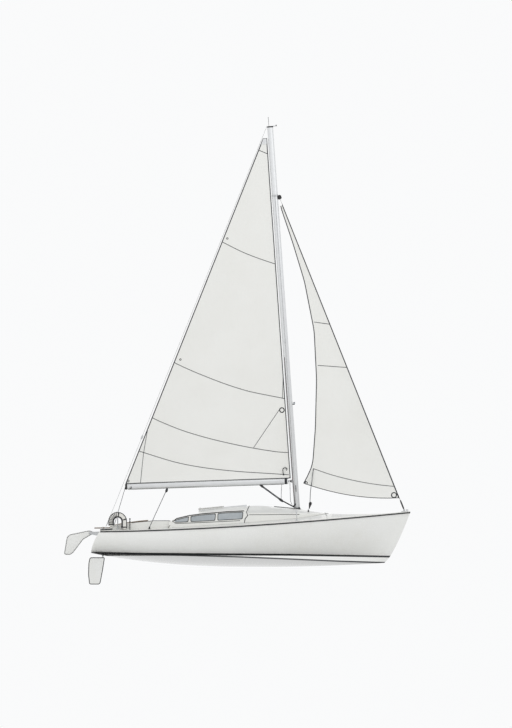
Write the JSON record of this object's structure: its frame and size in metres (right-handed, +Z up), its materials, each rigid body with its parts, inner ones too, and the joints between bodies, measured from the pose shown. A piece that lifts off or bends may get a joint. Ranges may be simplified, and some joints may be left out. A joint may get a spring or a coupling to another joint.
{
  "type": "small cabin sailing boat",
  "caption": "Small cabin sailing boat afloat: masthead sloop rig with swinging boom and jib, spade rudder with tiller, kick-up rudder, sliding hatch and drawn-up centreboard.",
  "frame": {"origin": "on the centreline at the waterline, half way between the ends of the drawn waterline mark and near the middle of the hull", "axes": "X forward towards the bow, Y to port, Z up"},
  "size_m": [7.573, 2.4866, 10.2216],
  "materials": {
    "hull_gelcoat": "white gelcoat on glass-reinforced plastic",
    "deck_gelcoat": "off-white gelcoat, non-skid where walked on",
    "liner_gelcoat": "cream flowcoat",
    "foil_gelcoat": "white gelcoat over a foam and glass core",
    "strake_rubber": "black extruded rubber",
    "window_glass": "tinted acrylic",
    "varnished_wood": "varnished hardwood",
    "anodised_alloy": "clear anodised extrusion",
    "dark_alloy": "black anodised casting",
    "stainless": "stainless steel",
    "buoy_foam": "white coated fabric over closed-cell foam",
    "black_plastic": "moulded nylon",
    "sailcloth": "woven polyester sailcloth"
  },
  "bodies": {
    "hull": {"hull_moulding": "hull_gelcoat", "deck_moulding": "deck_gelcoat", "rubbing_strakes": "strake_rubber", "coachroof": "deck_gelcoat", "windows_starboard": "window_glass", "windows_port": "window_glass", "cabin_bulkhead": "deck_gelcoat", "washboards": "varnished_wood", "cockpit_tub": "deck_gelcoat", "coaming_starboard": "deck_gelcoat", "coaming_port": "deck_gelcoat", "cabin_liner": "liner_gelcoat", "centreboard_case": "liner_gelcoat", "hatch_rails": "anodised_alloy", "mast": "anodised_alloy", "mast_step": "dark_alloy", "gooseneck_bracket": "stainless", "spreaders": "anodised_alloy", "masthead_fitting": "dark_alloy", "hounds_fitting": "stainless", "forestay": "stainless", "backstay": "stainless", "shroud_starboard": "stainless", "shroud_port": "stainless", "chainplates": "stainless", "bow_fitting": "stainless", "stern_eyes": "stainless", "jib_track": "dark_alloy", "horseshoe_buoy": "buoy_foam", "buoy_bracket": "stainless", "stern_post": "dark_alloy", "rudder_tube": "stainless", "lifting_rudder_bracket": "stainless"},
    "rudder": {"rudder_blade": "foil_gelcoat", "tiller": "varnished_wood"},
    "lifting_rudder": {"lifting_rudder_blade": "foil_gelcoat"},
    "boom": {"boom": "anodised_alloy", "gooseneck_knuckle": "dark_alloy", "boom_end_cap": "black_plastic", "mainsail": "sailcloth"},
    "jib": {"jib": "sailcloth", "jib_luff_tape": "sailcloth"},
    "hatch": {"sliding_hatch": "deck_gelcoat"},
    "centreboard": {"centreboard": "foil_gelcoat"}
  },
  "joints": [
    {"name": "rudder_turn", "type": "hinge", "parent": "hull", "child": "rudder", "pos_m": [-3.24, 0, 0], "axis": [0, 0, 1], "range_deg": [-35, 35]},
    {"name": "lifting_rudder_drop", "type": "hinge", "parent": "hull", "child": "lifting_rudder", "pos_m": [-3.52, 0.45, 0.505], "axis": [0, -1, 0], "range_deg": [0, 35]},
    {"name": "boom_swing", "type": "hinge", "parent": "hull", "child": "boom", "pos_m": [0.87783, 0, 1.63712], "axis": [-0.0706, 0, 0.9975], "range_deg": [-75, 75]},
    {"name": "jib_swing", "type": "hinge", "parent": "hull", "child": "jib", "pos_m": [3.35, 0, 1.00807], "axis": [-0.3706, 0, 0.9288], "range_deg": [-25, 25]},
    {"name": "hatch_slide", "type": "slide", "parent": "hull", "child": "hatch", "axis": [0.995, 0, 0.0994], "range_m": [0, 0.48]},
    {"name": "centreboard_drop", "type": "hinge", "parent": "hull", "child": "centreboard", "pos_m": [0.85, 0, -0.102], "axis": [0, -1, 0], "range_deg": [0, 80]}
  ]
}
